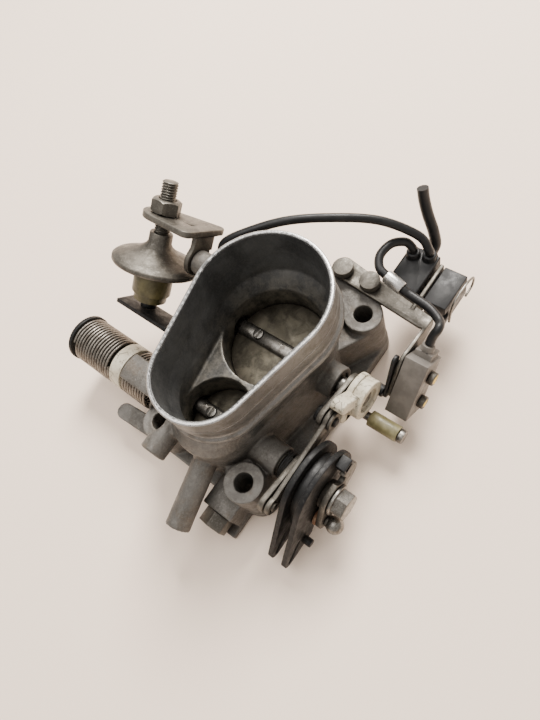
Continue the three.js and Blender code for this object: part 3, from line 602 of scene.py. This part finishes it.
def roughen(mesh, depth, size, z_low, z_high):
    """Slow sand-cast waves, between two heights in millimetres."""
    count = len(mesh.vertices)
    co = np.empty(count * 3)
    normals = np.empty(count * 3)
    mesh.vertices.foreach_get("co", co)
    mesh.vertices.foreach_get("normal", normals)
    co = co.reshape(-1, 3)
    waves = np.array([noise.noise(Vector(at)) for at in co / (size * MM)])
    z = co[:, 2] / MM
    waves[(z < z_low) | (z > z_high)] = 0.0
    co += normals.reshape(-1, 3) * (waves * depth)[:, None]
    mesh.vertices.foreach_set("co", co.ravel())
    mesh.update()


# The collar's two end arcs and the two bores, each as the X of its centre and its radius, in millimetres.
BIG = (30.0, 32.0)
SMALL = (-9.5, 24.0)
PRIMARY_BORE = (-18.5, 18.6)
SECONDARY_BORE = (26.0, 26.1)
FUNNEL_FLOOR = 41.0


def egg_reach(x, y):
    """How far inside the collar's egg outline a point lies, in millimetres; negative is outside."""
    (xb, rb), (xs, rs) = BIG, SMALL
    run = xb - xs
    slope = (rb - rs) / run
    along = (x - xs) + np.abs(y) * slope / np.sqrt(1 - slope * slope)
    t = np.clip(along / run, 0, 1)
    return rs + t * (rb - rs) - np.hypot(x - xs - t * run, y)


def housing_skin():
    source = link(bpy.data.objects.new("casting_source", bpy.data.meshes.new("casting_source")))
    bm = welded("housing")
    bm.to_mesh(source.data)
    bm.free()
    voxels = source.modifiers.new("voxels", "REMESH")
    voxels.mode = "VOXEL"
    voxels.voxel_size = 0.55 * MM
    mesh = evaluated_mesh(source)
    bpy.data.objects.remove(source)

    def firmness(co):
        z = co[:, 2] / MM
        return np.clip((53.0 - z) / 4.0, 0.18, 1.0)

    relax(mesh, 16, firmness)
    roughen(mesh, 0.1 * MM, 5.0, 1.0, 50.0)
    mesh.materials.append(LOOKS["cast_metal"])
    mesh.materials.append(LOOKS["bore"])
    centres = np.empty(len(mesh.polygons) * 3)
    mesh.polygons.foreach_get("center", centres)
    x, y, z = centres.reshape(-1, 3).T / MM
    primary, secondary = (np.hypot(x - at, y) < radius for at, radius in (PRIMARY_BORE, SECONDARY_BORE))
    inside = ((z > FUNNEL_FLOOR) & (egg_reach(x, y) > 0.9)) | ((z > 0.4) & (primary | secondary))
    mesh.polygons.foreach_set("material_index", inside.astype(int))
    mesh.shade_smooth()
    mesh.name = "casting"
    piece = link(bpy.data.objects.new("casting", mesh))
    return settle(piece, "housing")


def egg_ring(z, grow, count=160):
    """A level ring round the collar, grown outwards from its outline, in millimetres."""
    (xb, rb), (xs, rs) = BIG, SMALL
    points = []
    for i in range(count):
        angle = 2 * math.pi * i / count
        nx, ny = math.cos(angle), math.sin(angle)
        x, r = (xb, rb) if xb * nx + rb > xs * nx + rs else (xs, rs)
        points.append(Vector((x + (r + grow) * nx, (r + grow) * ny, z)) * MM)
    return points


def collar_band():
    """The machined outside of the collar: its bead, groove and hose land, as one thin ring."""
    bead = [(52.3, -0.5), (52.7, 0.45), (53.1, 0.82), (55.2, 0.82), (55.7, 0.5), (56.3, -0.4)]
    groove = [(56.8, -0.74), (59.6, -0.74), (60.2, -0.45), (60.7, -0.08)]
    hose_land = [(61.1, 0.04), (66.0, 0.04), (66.3, -0.22), (67.0, -0.22), (67.3, 0.04), (75.3, 0.04)]
    profile = bead + groove + hose_land + [(75.3, -0.9), (52.3, -0.9)]
    piece = skin("collar_band", [egg_ring(z, grow) for z, grow in profile], looped=True)
    return settle(piece, "housing", "collar")


def collar_lip():
    """The bright rounded lip on top of the collar."""
    profile = [(75.25, 0.0), (75.6, 0.03), (75.9, -0.25), (76.0, -0.5), (76.0, -1.45), (75.85, -1.85),
               (75.5, -2.06), (74.9, -2.06), (74.9, -1.0), (75.25, -0.9)]
    piece = skin("collar_lip", [egg_ring(z, grow) for z, grow in profile], looped=True)
    return settle(piece, "housing", "lip")


# ---- damper ----
DAMPER_TILT = math.radians(47.8)
DAMPER_EYE = mm(43.9, 70, 73.1)


def damper_frame():
    turn = Matrix.Rotation(DAMPER_TILT, 4, "Y")
    return Matrix.Translation(DAMPER_EYE) @ turn


def damper_parts():
    at = damper_frame()
    neck = [(0.6, -9.4), (5.4, -9.4), (5.7, -9.9), (5.8, -14.4), (6.8, -16.2), (9.8, -18.4)]
    dish = [(14.0, -20.3), (18.6, -22.2), (20.3, -22.9), (20.7, -23.5), (21.4, -23.8), (21.8, -24.4)]
    back = [(21.8, -26.0), (21.4, -26.6), (20.6, -26.9), (15.0, -27.4), (10.0, -28.3), (0.6, -28.35)]
    body = turned("damper_capsule", neck + dish + back, at, 96)
    settle(body, "damper_can")
    stud = threaded_rod("damper_stud", at, 4.0 * MM, 1.25 * MM, -11.5 * MM, 15.6 * MM)
    settle(stud, "damper_can", "zinc_steel")
    nut_seat = at @ Matrix.Translation((0, 0, 0.3 * MM))
    nut = hexagon_nut("damper_nut", nut_seat, across=13 * MM, height=6.8 * MM, bore=4.1 * MM)
    settle(nut, "damper_locknut")


# ---- springs ----
SPRING_X, SPRING_Z = -22.8 * MM, 25.4 * MM
SPRING_RADIUS, SPRING_WIRE = 11.6 * MM, 0.8 * MM
LINK_SPRING_RADIUS, LINK_SPRING_WIRE = 6.6 * MM, 0.55 * MM


def coil(node, x, z, radius, wire, turns, start):
    """A close coil of the given wire radius that fills the length of its CAD node along Y."""
    low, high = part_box(node)
    route = helix_route(x, z, radius, low.y + wire, high.y - wire, turns, start)
    settle(tube(f"{node}_wire", route, wire, 5), node)


def return_springs():
    for node, turns, start in (("inner_return_spring", 9, 0.4), ("outer_return_spring", 14, 2.2)):
        coil(node, SPRING_X, SPRING_Z, SPRING_RADIUS, SPRING_WIRE, turns, start)
    low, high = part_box("link_spring")
    centre = (low + high) / 2
    coil("link_spring", centre.x, centre.z, LINK_SPRING_RADIUS, LINK_SPRING_WIRE, 3, 1.0)


# ---- leads ----
FULL_LOAD_ROUTE = [
    (96, -32, 41), (96, -31.6, 43.4), (95.4, -28.4, 46.6), (90.4, -24.2, 48.8), (83, -23, 48.8),
    (77.8, -25.8, 47.8), (76, -30.6, 46.6), (74.4, -39.6, 44.6), (74, -44, 43.4), (72.4, -54, 43.2),
    (68.6, -61.4, 43.8), (64.4, -63.4, 45.4), (61.4, -62.6, 42.6), (58.9, -62.5, 39.7),
]
IDLE_ROUTE = [
    (98, -39.4, 41), (98.1, -39, 43.6), (99, -33, 50), (93, -17, 59), (81, 1, 65), (69, 18, 67),
    (56, 33, 65), (49, 40.6, 61.6), (45.2, 41, 58), (44.4, 40.8, 54),
]
LEAD_RADIUS = 2.1 * MM


def leads():
    for node, points in (("full_load_lead", FULL_LOAD_ROUTE), ("idle_lead", IDLE_ROUTE)):
        route = smooth_route([mm(*p) for p in points])
        settle(tube(f"{node}_sheath", route, LEAD_RADIUS, 8), node)


def harness_stub():
    route = smooth_route([mm(*p) for p in TAIL_POINTS])
    stub = tube("harness_stub", route, TAIL_RADIUS, 10)
    settle(stub, "cut_tail")


# ---- paint marks ----
PAINT_THICKNESS = 0.15 * MM


def paint_mark(name, at, axis, radius, node):
    """A brushed dab of paint, a low uneven dome."""
    matrix = frame_along(at, axis)
    rings = []
    for k in range(6):
        lift = math.sin(k / 5 * math.pi / 2)
        shrink = math.cos(k / 5 * math.pi / 2 * 0.96)
        points = []
        for i in range(20):
            angle = 2 * math.pi * i / 20
            reach = radius * shrink * (1 + 0.16 * math.sin(3 * angle + 1.0) + 0.08 * math.sin(5 * angle))
            points.append(matrix @ Vector((reach * math.cos(angle), reach * math.sin(angle),
                                           lift * PAINT_THICKNESS)))
        rings.append(points)
    piece = skin(name, rings)
    return settle(piece, node, "yellow", replace=False)


def paint_marks():
    """The yellow witness marks on the heads of the full-load switch's screws."""
    for node, reach in (("full_load_switch_screw_1", 2.4), ("full_load_switch_screw_2", 2.0)):
        low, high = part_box(node)
        centre = (low + high) / 2
        on_head = (centre.x, low.y + 0.03 * MM, centre.z)
        paint_mark(f"{node}_paint", on_head, (0, -1, 0), reach * MM, node)


# ---- everything together ----
# These nodes are replaced by pieces of their own above; every other node is finished as it comes.
SPECIAL = {
    "housing", "damper_can", "damper_locknut", "inner_return_spring", "outer_return_spring",
    "link_spring", "full_load_lead", "idle_lead", "cut_tail",
}
# Edge rounds in millimetres. FINE nodes have small details that a wider round would swallow.
USUAL_ROUND, FINE_ROUND = 0.25, 0.12
OWN_ROUND = {
    "full_load_switch": 0.3, "connector_body": 0.5, "connector_socket": 0.4, "idle_switch": 0.35,
    "secondary_cam": 0.5, "damper_bracket": 0.35, "switch_bracket": 0.4, "lever_stop_pad": 0.5,
    "pulley_core": 0.3, "ball_stud": 0.2,
}
FINE = {"primary_shaft", "secondary_shaft", "primary_plate", "secondary_plate", "connector_clip"}
OWN_LOOK = {"lead_ferrule": "bright_steel", "damper_sleeve": "dark_amber"}

add_camera()
harness_stub()
add_surroundings()
housing_skin()
collar_band()
collar_lip()
damper_parts()
return_springs()
leads()
paint_marks()
for node in sorted(NODES):
    if node in SPECIAL:
        continue
    size = OWN_ROUND.get(node, FINE_ROUND if node in FINE else USUAL_ROUND)
    finished(node, size, OWN_LOOK.get(node))
